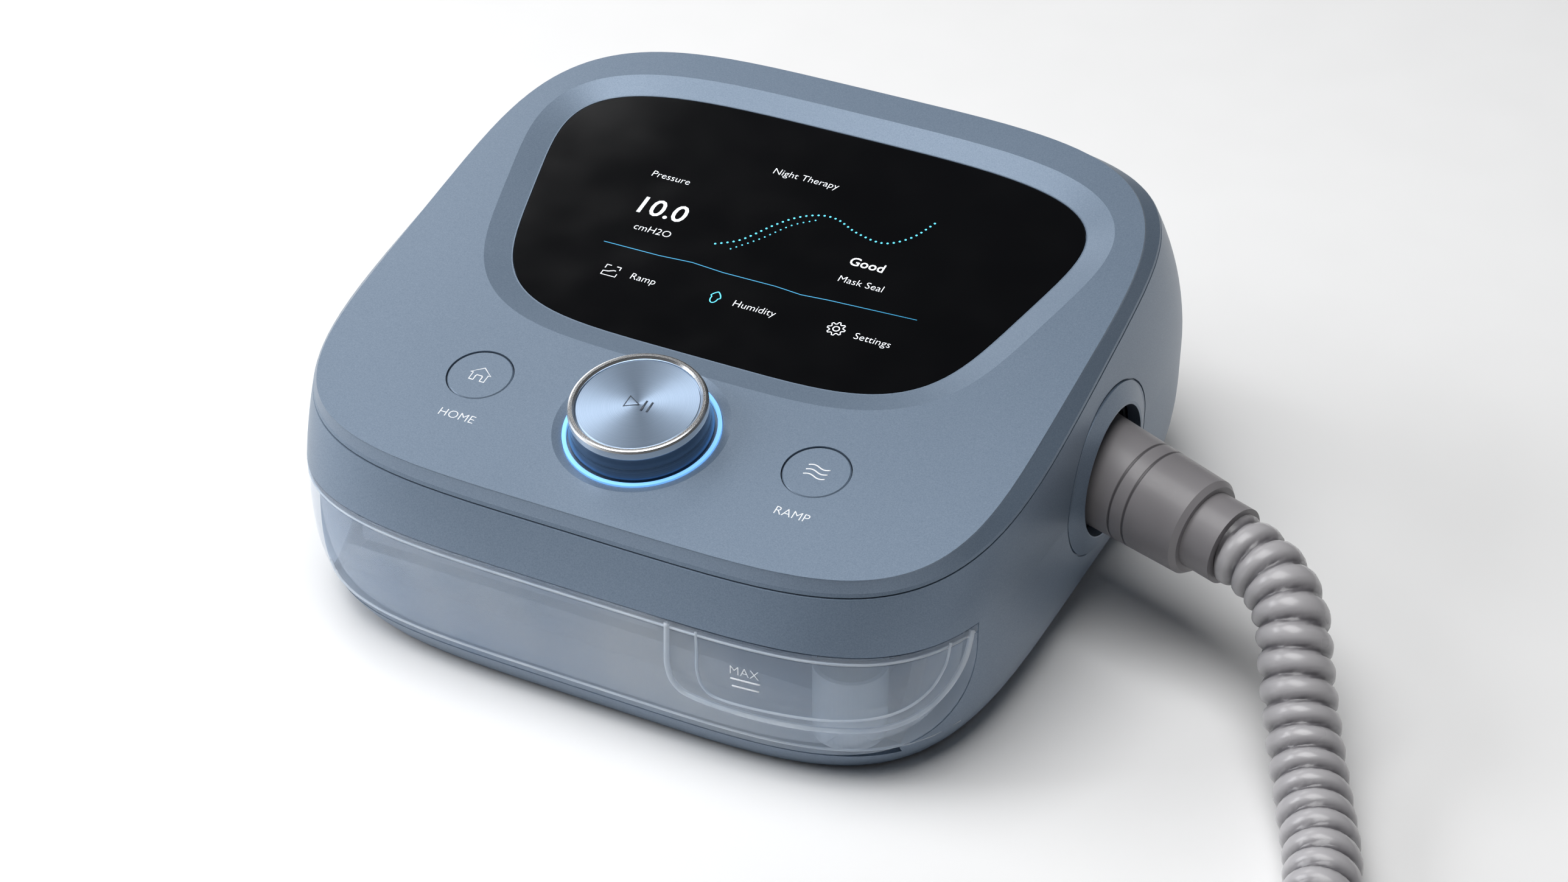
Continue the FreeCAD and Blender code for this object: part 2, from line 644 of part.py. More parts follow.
def hose_tube():
    points = route_points()
    edges, last, length = [], points[0], 0.0
    for before, corner, after in zip(points, points[1:], points[2:]):
        back, ahead = (before - corner), (after - corner)
        shorter = min(back.Length, ahead.Length)
        turn = math.pi - back.getAngle(ahead)
        setback = 0.45 * shorter
        radius = setback / math.tan(turn / 2)
        back.normalize()
        ahead.normalize()
        start, end = corner + back * setback, corner + ahead * setback
        bisector = (back + ahead).normalize()
        centre_distance = radius / math.cos(turn / 2)
        middle = corner + bisector * (centre_distance - radius)
        edges += [Part.LineSegment(last, start).toShape(), Part.Arc(start, middle, end).toShape()]
        length += (start - last).Length + radius * turn
        last = end
        print(f"hose turn {math.degrees(turn):5.1f} deg, radius {radius:6.1f} mm")
    edges.append(Part.LineSegment(last, points[-1]).toShape())
    length += (points[-1] - last).Length
    path = Part.Wire(edges)
    circle = Part.Wire(Part.makeCircle(HOSE_R, points[0], points[1] - points[0]))
    tube = path.makePipeShell([circle], True, True)
    print(f"hose tube length {length:.1f} mm, volume ratio {tube.Volume / (math.pi * HOSE_R ** 2 * length):.4f}")
    return tube


def hose_coil():
    """Outer shape of the wound turns, with the free end lying on top of them up to the mask cuff."""
    outer, inner = COIL_R + COIL_SPAN / 2, COIL_R - COIL_SPAN / 2
    turns = ring(outer, inner, COIL_Z - HOSE_R, COIL_Z + HOSE_R, COIL_CENTRE.x, COIL_CENTRE.y)
    circle = Part.Face(Part.Wire(Part.makeCircle(HOSE_R, V(COIL_R, 0, 0), V(0, 1, 0))))
    tail = circle.revolve(V(0, 0, 0), V(0, 0, 1), TAIL_TURN)
    tail.rotate(V(0, 0, 0), V(0, 0, 1), TAIL_START - TAIL_TURN)
    tail.translate(COIL_CENTRE + V(0, 0, TAIL_Z))
    return turns.fuse(tail)


def hose_tie():
    """Strap round the turns of the coil."""
    low, high = COIL_Z - HOSE_R, COIL_Z + HOSE_R
    near, far = COIL_R - COIL_SPAN / 2 - 2.4, COIL_R + COIL_SPAN / 2 + 2.4
    strap = box(near, far, -8, 8, low - 1.25, high + 1.25)
    strap = strap.cut(box(near + 1.2, far - 1.2, -9, 9, low - 0.05, high + 0.05))
    strap.rotate(V(0, 0, 0), V(0, 0, 1), TIE_ANGLE)
    strap.translate(COIL_CENTRE)
    return strap


def mask_cuff():
    """Soft 22 mm socket that pushes onto a mask, on the hose's free end on top of the coil."""
    end = math.radians(TAIL_START - TAIL_TURN)
    start = COIL_CENTRE + V(COIL_R * math.cos(end), COIL_R * math.sin(end), TAIL_Z + CUFF_RISE)
    axis = V(math.sin(end), -math.cos(end), 0)
    body = bar(13.0, start, start + axis * 42)
    socket = bar(SPIGOT_R + 0.1, start + axis * 20, start + axis * 50)
    print("mask cuff mouth", start + axis * 42, "axis", axis)
    return body.cut(socket).cut(bar(8.5, start - axis, start + axis * 30))


NODES = {
    "base_shell": base_shell, "rubber_feet": feet, "upper_housing": upper_housing, "top_cover": top_cover,
    "chassis": chassis, "housing_screws": housing_screws,
    "screen_glass": lambda: on_deck(glass_prism(-GLASS_DROP - GLASS_THICK, -GLASS_DROP)),
    "lcd_module": lcd_module, "display_board": display_board, "display_screws": board_screws,
    "light_ring": light_ring, "encoder_body": encoder_body, "encoder_plunger": encoder_plunger,
    "knob_shaft": knob_shaft, "knob_skirt": knob_skirt, "knob_ring": knob_ring, "knob_disc": knob_disc,
    "tact_switches": tact_switches,
    "home_button": lambda: button_cap(-BUTTON_U), "home_plunger": lambda: button_plunger(-BUTTON_U),
    "ramp_button": lambda: button_cap(BUTTON_U), "ramp_plunger": lambda: button_plunger(BUTTON_U),
    "tank_tub": tank_with_ports, "tank_lid": tank_lid, "tank_seal": tank_seal,
    "tank_heat_base": tank_heat_base, "tank_baffle": tank_baffle, "tank_port_seals": tank_port_seals,
    "heater_frame": heater_frame, "heater_plate": heater_plate,
    "blower_lower": blower_lower, "blower_upper": blower_upper, "blower_mounts": blower_mounts,
    "motor_stator": motor_stator, "rotor_bearings": rotor_bearings, "impeller": impeller,
    "rotor_shaft": rotor_shaft, "rotor_magnet": rotor_magnet, "inlet_duct": inlet_duct,
    "blower_outlet": blower_outlet, "flow_sensor": flow_sensor, "humid_duct": humid_duct,
    "outlet_spigot": outlet_spigot, "port_liner": port_liner, "filter_box": filter_box,
    "air_filter": air_filter, "filter_cover": filter_cover, "power_socket": power_socket,
    "main_board": main_board, "main_board_screws": main_board_screws, "board_parts": board_parts,
    "hose_sleeve": hose_sleeve, "hose_collar": hose_collar, "hose_tube": hose_tube,
    "hose_coil": hose_coil, "hose_tie": hose_tie, "mask_cuff": mask_cuff,
}

os.makedirs("parts", exist_ok=True)
for node_name, build in NODES.items():
    save(node_name, build())
print("deck normal", DECK_NORMAL, "knob centre", DECK.multVec(V(0, KNOB_V, 0)))
print("home centre", DECK.multVec(V(-BUTTON_U, BUTTON_V, 0)), "port axis", port_axis())
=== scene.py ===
# %% [markdown]
# # A bedside breathing machine
# The machine blows humid air through a hose into a sleeper's mask. The housings, the tank, the knob
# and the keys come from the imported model, with their real sizes and joints. This lesson adds what
# that model leaves plain: finishes, screen content, printed marks, the ribbed hose and the light.

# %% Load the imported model
import bmesh
import bpy
import math
from mathutils import Matrix, Vector


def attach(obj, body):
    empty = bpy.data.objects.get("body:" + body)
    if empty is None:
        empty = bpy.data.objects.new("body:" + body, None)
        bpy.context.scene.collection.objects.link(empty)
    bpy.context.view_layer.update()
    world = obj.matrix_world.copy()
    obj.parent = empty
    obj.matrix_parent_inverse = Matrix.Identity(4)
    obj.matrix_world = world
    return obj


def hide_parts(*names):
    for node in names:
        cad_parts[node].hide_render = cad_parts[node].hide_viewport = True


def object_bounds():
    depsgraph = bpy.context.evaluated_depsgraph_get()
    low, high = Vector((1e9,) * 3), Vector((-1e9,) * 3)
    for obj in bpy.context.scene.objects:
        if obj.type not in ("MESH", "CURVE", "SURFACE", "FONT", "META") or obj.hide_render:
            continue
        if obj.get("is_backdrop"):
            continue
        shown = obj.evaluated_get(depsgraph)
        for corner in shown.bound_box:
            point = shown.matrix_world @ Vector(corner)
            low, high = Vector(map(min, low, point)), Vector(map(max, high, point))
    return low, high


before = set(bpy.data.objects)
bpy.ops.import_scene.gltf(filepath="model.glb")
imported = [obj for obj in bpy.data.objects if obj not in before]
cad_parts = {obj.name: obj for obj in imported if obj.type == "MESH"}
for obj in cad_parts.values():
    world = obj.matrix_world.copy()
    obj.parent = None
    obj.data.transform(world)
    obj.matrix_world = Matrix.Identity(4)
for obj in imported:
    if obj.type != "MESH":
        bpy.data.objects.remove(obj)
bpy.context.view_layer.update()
MM = 0.001

# %% [markdown]
# The camera stands above the machine's front right corner, about 0.9 m away, with a long lens. A long
# lens keeps the sides of a small product nearly parallel, which is how products are usually shown.

# %% Camera
CAMERA_PLACE, CAMERA_TARGET = Vector((0.3427, -0.6712, 0.5543)), Vector((0.0166, -0.0159, 0.0397))
lens = bpy.data.cameras.new("camera")
lens.lens, lens.sensor_width, lens.clip_start = 74.4, 36.0, 0.01
camera = bpy.data.objects.new("camera", lens)
camera.location = CAMERA_PLACE
camera.rotation_euler = (CAMERA_TARGET - CAMERA_PLACE).to_track_quat("-Z", "Y").to_euler()
bpy.context.scene.collection.objects.link(camera)
bpy.context.scene.camera = camera
print("camera distance", round((CAMERA_TARGET - CAMERA_PLACE).length, 3))

# %% [markdown]
# Small helpers do the work that every later step repeats: they put a mesh in the scene, turn a curve
# or a modified object into a plain mesh, run a Geometry Nodes tree, clean a shape and draw rods.


# %% Helpers for pieces
def add_object(name, data):
    piece = bpy.data.objects.new(name, data)
    bpy.context.scene.collection.objects.link(piece)
    return piece


def plain_mesh(source, name, matrix=None):
    """The evaluated shape of source as a mesh object at the origin; source is removed."""
    bpy.context.view_layer.update()
    depsgraph = bpy.context.evaluated_depsgraph_get()
    mesh = bpy.data.meshes.new_from_object(source.evaluated_get(depsgraph), depsgraph=depsgraph)
    if matrix is not None:
        mesh.transform(matrix)
    bpy.data.objects.remove(source)
    mesh.name = name
    return add_object(name, mesh)


def run_nodes(source, tree, name, matrix=None, **values):
    """Apply a node tree with the given named inputs and keep the result as a plain mesh."""
    modifier = source.modifiers.new(tree.name, "NODES")
    modifier.node_group = tree
    for item in tree.interface.items_tree:
        if item.in_out == "INPUT" and item.name in values:
            modifier[item.identifier] = values[item.name]
    return plain_mesh(source, name, matrix)


def finish_piece(piece, body, finish=None):
    if finish is not None:
        piece.data.materials.clear()
        piece.data.materials.append(finish)
    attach(piece, body)
    return piece


def point_outwards(piece):
    """Merge doubles and turn every face outwards."""
    shape = bmesh.new()
    shape.from_mesh(piece.data)
    bmesh.ops.remove_doubles(shape, verts=shape.verts, dist=1e-7)
    bmesh.ops.recalc_face_normals(shape, faces=shape.faces)
    shape.to_mesh(piece.data)
    shape.free()
    return piece


def rod_curve(name, strokes, radius, rounding, closed=False):
    """Round rods along the strokes, each a list of three-part points in metres."""
    drawing = bpy.data.curves.new(name, "CURVE")
    drawing.dimensions, drawing.bevel_depth, drawing.bevel_resolution = "3D", radius, rounding
    drawing.use_fill_caps = True
    for stroke in strokes:
        spline = drawing.splines.new("POLY")
        spline.points.add(len(stroke) - 1)
        for target, point in zip(spline.points, stroke):
            target.co = (*point, 1.0)
        spline.use_cyclic_u = closed
    return add_object(name, drawing)


def line_mesh(name, points):
    """A chain of edges through the points, as food for a node tree."""
    mesh = bpy.data.meshes.new(name)
    mesh.from_pydata([tuple(p) for p in points], [(i, i + 1) for i in range(len(points) - 1)], [])
    return add_object(name, mesh)


# %% [markdown]
# Real plastic and metal are never one even colour. One shader group gives two patterns in the piece's
# own coordinates: fine specks, as in metallic paint or moulded texture, and slow clouds, as in the
# thickness of a coat. Every finish below uses it with its own sizes and strengths.


# %% Grain group
def make_grain_group():
    group = bpy.data.node_groups.new("grain", "ShaderNodeTree")
    for name, value in (("Speck Scale", 2500.0), ("Cloud Scale", 14.0)):
        socket = group.interface.new_socket(name, in_out="INPUT", socket_type="NodeSocketFloat")
        socket.default_value = value
    for name in ("Speck", "Cloud"):
        group.interface.new_socket(name, in_out="OUTPUT", socket_type="NodeSocketFloat")
    nodes, links = group.nodes, group.links
    sizes, results = nodes.new("NodeGroupInput"), nodes.new("NodeGroupOutput")
    place = nodes.new("ShaderNodeTexCoord")
    for name, detail in (("Speck", 1.0), ("Cloud", 3.0)):
        noise = nodes.new("ShaderNodeTexNoise")
        noise.inputs["Detail"].default_value = detail
        links.new(place.outputs["Object"], noise.inputs["Vector"])
        links.new(sizes.outputs[name + " Scale"], noise.inputs["Scale"])
        links.new(noise.outputs["Fac"], results.inputs[name])
    return group


GRAIN = make_grain_group()
print("grain group with", len(GRAIN.nodes), "nodes")


# %% Finish helpers
def new_finish(name, **fixed):
    """A material with its fixed values on the shader's own sockets."""
    material = bpy.data.materials.new(name)
    material.use_nodes = True
    shader = material.node_tree.nodes["Principled BSDF"]
    for socket, value in fixed.items():
        shader.inputs[socket.replace("_", " ")].default_value = value
    return material, material.node_tree, shader


def add_grain(tree, speck_scale, cloud_scale):
    grain = tree.nodes.new("ShaderNodeGroup")
    grain.node_tree = GRAIN
    grain.inputs["Speck Scale"].default_value = speck_scale
    grain.inputs["Cloud Scale"].default_value = cloud_scale
    return grain


def blend_colour(tree, mask, low, high, start=0.3, end=0.7):
    ramp = tree.nodes.new("ShaderNodeValToRGB")
    ramp.color_ramp.elements[0].position, ramp.color_ramp.elements[1].position = start, end
    ramp.color_ramp.elements[0].color, ramp.color_ramp.elements[1].color = (*low, 1), (*high, 1)
    tree.links.new(mask, ramp.inputs["Fac"])
    return ramp.outputs["Color"]


def spread(tree, mask, low, high, start=0.3, end=0.7):
    scale = tree.nodes.new("ShaderNodeMapRange")
    for socket, value in zip(("From Min", "From Max", "To Min", "To Max"), (start, end, low, high)):
        scale.inputs[socket].default_value = value
    tree.links.new(mask, scale.inputs["Value"])
    return scale.outputs["Result"]


def add_bump(tree, shader, height, strength, distance):
    bump = tree.nodes.new("ShaderNodeBump")
    bump.inputs["Strength"].default_value = strength
    bump.inputs["Distance"].default_value = distance
    tree.links.new(height, bump.inputs["Height"])
    tree.links.new(bump.outputs["Normal"], shader.inputs["Normal"])


def grained(name, low, high, rough=(0.4, 0.5), speck=2500.0, cloud=14.0, bump=0.2, mix="Cloud",
            **fixed):
    """A moulded or painted finish: colour drifts with one pattern, gloss and relief with the specks."""
    material, tree, shader = new_finish(name, **fixed)
    grain = add_grain(tree, speck, cloud)
    tree.links.new(blend_colour(tree, grain.outputs[mix], low, high), shader.inputs["Base Color"])
    tree.links.new(spread(tree, grain.outputs["Speck"], *rough), shader.inputs["Roughness"])
    add_bump(tree, shader, grain.outputs["Speck"], bump, 0.00005)
    return material


# %% [markdown]
# The housings are slate blue plastic with fine metallic flakes under a satin coat. Flakes are a speck
# pattern that shifts both colour and gloss a little, so highlights sparkle instead of looking painted.

# %% Housing finish
FINISHES = {}
housing, tree, shader = new_finish("housing_satin", Metallic=0.35, Coat_Weight=0.12, Coat_Roughness=0.3)
grain = add_grain(tree, 3200.0, 9.0)
flakes = blend_colour(tree, grain.outputs["Speck"], (0.150, 0.205, 0.280), (0.200, 0.262, 0.345))
tree.links.new(flakes, shader.inputs["Base Color"])
tree.links.new(spread(tree, grain.outputs["Cloud"], 0.36, 0.44), shader.inputs["Roughness"])
add_bump(tree, shader, grain.outputs["Speck"], 0.12, 0.00004)
FINISHES["housing_plastic"] = housing

# %% [markdown]
# The tank is clear plastic with a blue cast. Light has to reach what is inside, so part of it passes
# straight through and the rest is bent. Slow clouds in the gloss stand for the mist of warm water.

# %% Tank finish
clear, tree, shader = new_finish("tank_clear", Transmission_Weight=0.2, IOR=1.42)
grain = add_grain(tree, 900.0, 26.0)
cast = blend_colour(tree, grain.outputs["Cloud"], (0.52, 0.66, 0.86), (0.78, 0.88, 1.0))
tree.links.new(cast, shader.inputs["Base Color"])
tree.links.new(spread(tree, grain.outputs["Cloud"], 0.05, 0.22), shader.inputs["Roughness"])
shader.inputs["Alpha"].default_value = 0.3
FINISHES["tank_clear"] = clear

# %% [markdown]
# The screen's cover is near-black glass. A faint smear pattern in its gloss is what makes glass look
# touched and real; the picture itself is made of thin bright pieces that lie on it.

# %% Screen, display and print finishes
FINISHES["screen_black"] = grained("screen_glass", (0.0028, 0.003, 0.0036), (0.0036, 0.0038, 0.0046),
                                   rough=(0.11, 0.16), speck=60.0, cloud=20.0, bump=0.0,
                                   Specular_IOR_Level=0.45)
FINISHES["display"] = grained("display_dark", (0.01, 0.012, 0.016), (0.014, 0.017, 0.022), cloud=200.0)


def glowing(name, colour, strength):
    material, tree, shader = new_finish(name, Emission_Strength=strength, Roughness=0.5)
    grain = add_grain(tree, 1500.0, 120.0)
    dimmer = tuple(channel * 0.88 for channel in colour)
    tint = blend_colour(tree, grain.outputs["Cloud"], dimmer, colour)
    for socket in ("Base Color", "Emission Color"):
        tree.links.new(tint, shader.inputs[socket])
    return material


WHITE_GLOW = glowing("glow_white", (0.86, 0.90, 0.95), 0.75)
CYAN_GLOW = glowing("glow_cyan", (0.10, 0.62, 0.86), 1.0)
BLUE_GLOW = glowing("glow_blue", (0.05, 0.30, 0.52), 0.9)
FINISHES["light_strip"] = glowing("light_strip", (0.20, 0.50, 0.95), 0.85)
INK = grained("white_ink", (0.80, 0.83, 0.87), (0.88, 0.90, 0.93), speck=4000.0)
DARK_INK = grained("dark_ink", (0.035, 0.05, 0.075), (0.045, 0.065, 0.09), speck=4000.0)

# %% [markdown]
# The knob has three metals. Its top is spun on a lathe, which leaves fine rings round its axis and the
# fan of light that turns with the viewer. The rings are a pattern of the distance from the axis, and
# the fan comes from anisotropy with a tangent that runs round the disc.

# %% Knob finishes
DECK_HEIGHT, DECK_TILT = 0.08345, math.radians(11)
DECK = Matrix.Translation((0, 0, DECK_HEIGHT)) @ Matrix.Rotation(DECK_TILT, 4, "X")
KNOB_V = -0.0673


def add_turned_rings(tree, scale):
    """A pattern that depends only on the distance from the knob's axis."""
    place, turned = tree.nodes.new("ShaderNodeTexCoord"), tree.nodes.new("ShaderNodeMapping")
    turned.vector_type = "TEXTURE"
    turned.inputs["Location"].default_value = DECK @ Vector((0, KNOB_V, 0))
    turned.inputs["Rotation"].default_value = (DECK_TILT, 0, 0)
    flat, distance = tree.nodes.new("ShaderNodeVectorMath"), tree.nodes.new("ShaderNodeVectorMath")
    flat.operation, distance.operation = "MULTIPLY", "LENGTH"
    flat.inputs[1].default_value = (1, 1, 0)
    rings = tree.nodes.new("ShaderNodeTexNoise")
    rings.noise_dimensions = "1D"
    rings.inputs["Scale"].default_value = scale
    tree.links.new(place.outputs["Object"], turned.inputs["Vector"])
    tree.links.new(turned.outputs["Vector"], flat.inputs[0])
    tree.links.new(flat.outputs["Vector"], distance.inputs[0])
    tree.links.new(distance.outputs["Value"], rings.inputs["W"])
    return rings.outputs["Fac"]


def turned_metal(name, low, high, rough, scale, bump, anisotropy):
    material, tree, shader = new_finish(name, Metallic=1.0, Anisotropic=anisotropy)
    rings = add_turned_rings(tree, scale)
    tree.links.new(blend_colour(tree, rings, low, high), shader.inputs["Base Color"])
    tree.links.new(spread(tree, rings, *rough), shader.inputs["Roughness"])
    add_bump(tree, shader, rings, bump, 0.00003)
    tangent = tree.nodes.new("ShaderNodeTangent")
    tangent.direction_type, tangent.axis = "RADIAL", "Z"
    tree.links.new(tangent.outputs["Tangent"], shader.inputs["Tangent"])
    return material


FINISHES["knob_spun"] = turned_metal("spun_disc", (0.27, 0.36, 0.49), (0.40, 0.50, 0.64),
                                     (0.34, 0.44), 9000.0, 0.2, 0.7)
FINISHES["knob_chrome"] = turned_metal("chrome_ring", (0.88, 0.89, 0.91), (0.95, 0.96, 0.97),
                                       (0.20, 0.28), 6000.0, 0.05, 0.0)
FINISHES["knob_steel_blue"] = turned_metal("skirt_blue", (0.10, 0.155, 0.235), (0.14, 0.205, 0.30),
                                           (0.26, 0.34), 5000.0, 0.05, 0.3)

# %% [markdown]
# Parts that hide inside still get honest finishes, because the tank and the filter door open. Each row
# names the two colours between which the finish drifts, its gloss, and how coarse its surface is.

# %% Other finishes
INNER = {
    "steel": dict(low=(0.42, 0.43, 0.45), high=(0.55, 0.56, 0.58), rough=(0.2, 0.35), Metallic=1.0),
    "aluminium": dict(low=(0.62, 0.63, 0.65), high=(0.75, 0.76, 0.78), rough=(0.25, 0.4), Metallic=1.0),
    "dark_plastic": dict(low=(0.016, 0.019, 0.025), high=(0.026, 0.03, 0.038), rough=(0.45, 0.6)),
    "duct_plastic": dict(low=(0.55, 0.56, 0.55), high=(0.66, 0.67, 0.66), rough=(0.4, 0.55)),
    "motor_iron": dict(low=(0.05, 0.05, 0.055), high=(0.10, 0.10, 0.11), rough=(0.4, 0.6), Metallic=0.8),
    "circuit_board": dict(low=(0.01, 0.09, 0.045), high=(0.015, 0.14, 0.07), rough=(0.3, 0.4), cloud=220.0),
    "components": dict(low=(0.02, 0.02, 0.022), high=(0.05, 0.05, 0.055), rough=(0.35, 0.5), cloud=90.0),
    "silicone": dict(low=(0.62, 0.64, 0.66), high=(0.72, 0.74, 0.76), rough=(0.45, 0.6), bump=0.1),
    "foot_rubber": dict(low=(0.02, 0.02, 0.022), high=(0.035, 0.035, 0.038), rough=(0.7, 0.85), bump=0.6),
    "filter_foam": dict(low=(0.10, 0.11, 0.12), high=(0.62, 0.65, 0.68), rough=(0.85, 1.0),
                        speck=1100.0, bump=1.0, mix="Speck"),
}
for slot, look in INNER.items():
    FINISHES[slot] = grained(slot + "_finish", **look)
print(len(FINISHES), "finishes so far")

# %% [markdown]
# The hose is grey soft plastic, and its connector is rubber with two fine ring grooves. The grooves are made
# in the finish: the distance along the connector's axis picks two thin bands, which go lower and get painted
# shade. The hose's finish reads the height of its own spiral rib and paints shade into the valleys between
# the turns.

# %% Hose finishes
PORT, AXIS = Vector((0.1045, 0.0043, 0.044)), Vector((0.94975, -0.30859, -0.05234))
GROOVE_PLACES, GROOVE_WIDTH = (0.0118, 0.0164), 0.0005


def add_groove(tree, along, place, width):
    """1 in a thin band round the connector, 0 elsewhere."""
    offset, band = tree.nodes.new("ShaderNodeMath"), tree.nodes.new("ShaderNodeMath")
    offset.operation, band.operation = "SUBTRACT", "ABSOLUTE"
    offset.inputs[1].default_value = place
    tree.links.new(along, offset.inputs[0])
    tree.links.new(offset.outputs[0], band.inputs[0])
    return spread(tree, band.outputs[0], 1.0, 0.0, width * 0.4, width)


rubber, tree, shader = new_finish("connector_rubber", Coat_Weight=0.05)
grain = add_grain(tree, 1900.0, 30.0)
along = tree.nodes.new("ShaderNodeVectorMath")
along.operation = "DOT_PRODUCT"
along.inputs[1].default_value = AXIS
place = tree.nodes.new("ShaderNodeTexCoord")
tree.links.new(place.outputs["Object"], along.inputs[0])
first, second = (add_groove(tree, along.outputs["Value"], PORT.dot(AXIS) + place, GROOVE_WIDTH)
                 for place in GROOVE_PLACES)
groove = tree.nodes.new("ShaderNodeMath")
groove.operation = "MAXIMUM"
tree.links.new(first, groove.inputs[0])
tree.links.new(second, groove.inputs[1])
# Painted shade: the two groove bands are coloured much darker than the rest of the rubber.
shade = tree.nodes.new("ShaderNodeMix")
shade.data_type = "RGBA"
shade.inputs[7].default_value = (0.075, 0.07, 0.075, 1)
tree.links.new(groove.outputs[0], shade.inputs[0])
tree.links.new(blend_colour(tree, grain.outputs["Cloud"], (0.215, 0.205, 0.215), (0.25, 0.24, 0.25)),
               shade.inputs[6])
tree.links.new(shade.outputs[2], shader.inputs["Base Color"])
tree.links.new(spread(tree, grain.outputs["Speck"], 0.38, 0.48), shader.inputs["Roughness"])
depth = tree.nodes.new("ShaderNodeMath")
depth.operation = "MULTIPLY_ADD"
depth.inputs[1].default_value = 0.06
tree.links.new(grain.outputs["Speck"], depth.inputs[0])
tree.links.new(spread(tree, groove.outputs[0], 1.0, 0.0, 0.0, 1.0), depth.inputs[2])
add_bump(tree, shader, depth.outputs[0], 0.6, 0.0003)
FINISHES["hose_rubber"] = rubber

ribbed, tree, shader = new_finish("hose_ribbed", Coat_Weight=0.25, Coat_Roughness=0.2)
height = tree.nodes.new("ShaderNodeAttribute")
height.attribute_name = "rib_height"
grain = add_grain(tree, 1500.0, 40.0)
# Painted shade: the valleys between the rib's turns are coloured much darker than the ridges, which keep the
# hose's grey.
SHADED_VALLEY, RIDGE = (0.12, 0.115, 0.125), (0.43, 0.42, 0.435)
tree.links.new(blend_colour(tree, height.outputs["Fac"], SHADED_VALLEY, RIDGE, 0.1, 0.95),
               shader.inputs["Base Color"])
tree.links.new(spread(tree, grain.outputs["Cloud"], 0.26, 0.38), shader.inputs["Roughness"])
add_bump(tree, shader, grain.outputs["Speck"], 0.1, 0.00005)
FINISHES["hose_plastic"] = ribbed

strap, tree, shader = new_finish("strap_weave", Roughness=0.8, Sheen_Weight=0.4)
weave, place = tree.nodes.new("ShaderNodeTexWave"), tree.nodes.new("ShaderNodeTexCoord")
weave.inputs["Scale"].default_value = 320.0
weave.inputs["Distortion"].default_value = 1.5
tree.links.new(place.outputs["Object"], weave.inputs["Vector"])
tree.links.new(blend_colour(tree, weave.outputs["Fac"], (0.012, 0.014, 0.018), (0.05, 0.055, 0.065)),
               shader.inputs["Base Color"])
add_bump(tree, shader, weave.outputs["Fac"], 0.7, 0.0002)
FINISHES["strap"] = strap

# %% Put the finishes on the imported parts
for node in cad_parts.values():
    for entry in node.material_slots:
        entry.material = FINISHES[entry.material.name.split(".")[0]]
print("finished parts:", len(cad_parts))

# %% [markdown]
# The hose leaves the connector pointing forwards, drops to the table under its own weight and runs off to the
# user's side, where the rest lies in a neat coil. Its line is a NURBS curve: a few given points, then the
# coil's turns, then the free end, which climbs on top with the mask's cuff.

# %% Hose line
CONNECTOR_LENGTH, STRAIGHT_LENGTH = 0.0428, 0.011
EXIT = PORT + AXIS * CONNECTOR_LENGTH
FREE_RUN = [(0.1664, -0.0216, 0.0367), (0.1720, -0.0330, 0.0275), (0.1795, -0.0460, 0.0175),
            (0.1882, -0.0620, 0.0114), (0.1990, -0.0840, 0.0102), (0.2036, -0.1060, 0.0102),
            (0.2042, -0.1310, 0.0104), (0.2030, -0.1610, 0.0107), (0.2026, -0.1960, 0.0110),
            (0.2032, -0.2430, 0.0112)]
COIL_CENTRE, COIL_HEIGHT = Vector((0.1028, -0.3005, 0.0)), 0.0113
FIRST_RADIUS, TURN_STEP, TURNS, POINTS_PER_TURN = 0.1015, 0.0203, 2, 24
END_RADIUS, END_HEIGHT, END_TURN, END_POINTS = 0.0811, 0.0312, 100.0, 10


def coil_point(degrees, radius, height):
    angle = math.radians(degrees)
    return COIL_CENTRE + Vector((radius * math.cos(angle), radius * math.sin(angle), height))


def eased(part):
    part = min(max(part, 0.0), 1.0)
    return part * part * (3 - 2 * part)


line_points = [EXIT, EXIT + AXIS * STRAIGHT_LENGTH] + [Vector(point) for point in FREE_RUN]
for step in range(TURNS * POINTS_PER_TURN + 1):
    turned = step / POINTS_PER_TURN
    line_points.append(coil_point(-360 * turned, FIRST_RADIUS - TURN_STEP * turned, COIL_HEIGHT))
inner_radius = FIRST_RADIUS - TURN_STEP * TURNS
for step in range(1, END_POINTS + 1):
    part = step / END_POINTS
    height = COIL_HEIGHT + (END_HEIGHT - COIL_HEIGHT) * eased(part / 0.75)
    radius = inner_radius + (END_RADIUS - inner_radius) * eased((part - 0.3) / 0.7)
    line_points.append(coil_point(-END_TURN * part, radius, height))

curve = bpy.data.curves.new("hose_line", "CURVE")
curve.dimensions = "3D"
curve.resolution_u = 10
spline = curve.splines.new("NURBS")
spline.points.add(len(line_points) - 1)
for target, point in zip(spline.points, line_points):
    target.co = (*point, 1.0)
spline.order_u = 3
spline.use_endpoint_u = True
hose_line = plain_mesh(add_object("hose_line", curve), "hose_line")
path = [vertex.co.copy() for vertex in hose_line.data.vertices]
hose_length = sum((b - a).length for a, b in zip(path, path[1:]))
print("hose line", len(path), "points,", round(hose_length, 4), "m")


# %% [markdown]
# A spiral rib runs round the whole hose. Geometry Nodes sweep a circle along the line and then push
# every point outwards by a rib profile. The profile depends on the distance along the hose plus the
# angle round it, which is what makes the rib a spiral rather than a row of rings.


# %% Rib tree
def join_nodes(tree, pairs):
    for source, target in pairs:
        tree.links.new(source, target)


def float_math(tree, operation, first, second):
    node = tree.nodes.new("ShaderNodeMath")
    node.operation = operation
    for socket, value in zip(node.inputs, (first, second)):
        if isinstance(value, (int, float)):
            socket.default_value = value
        elif value is not None:
            tree.links.new(value, socket)
    return node.outputs[0]


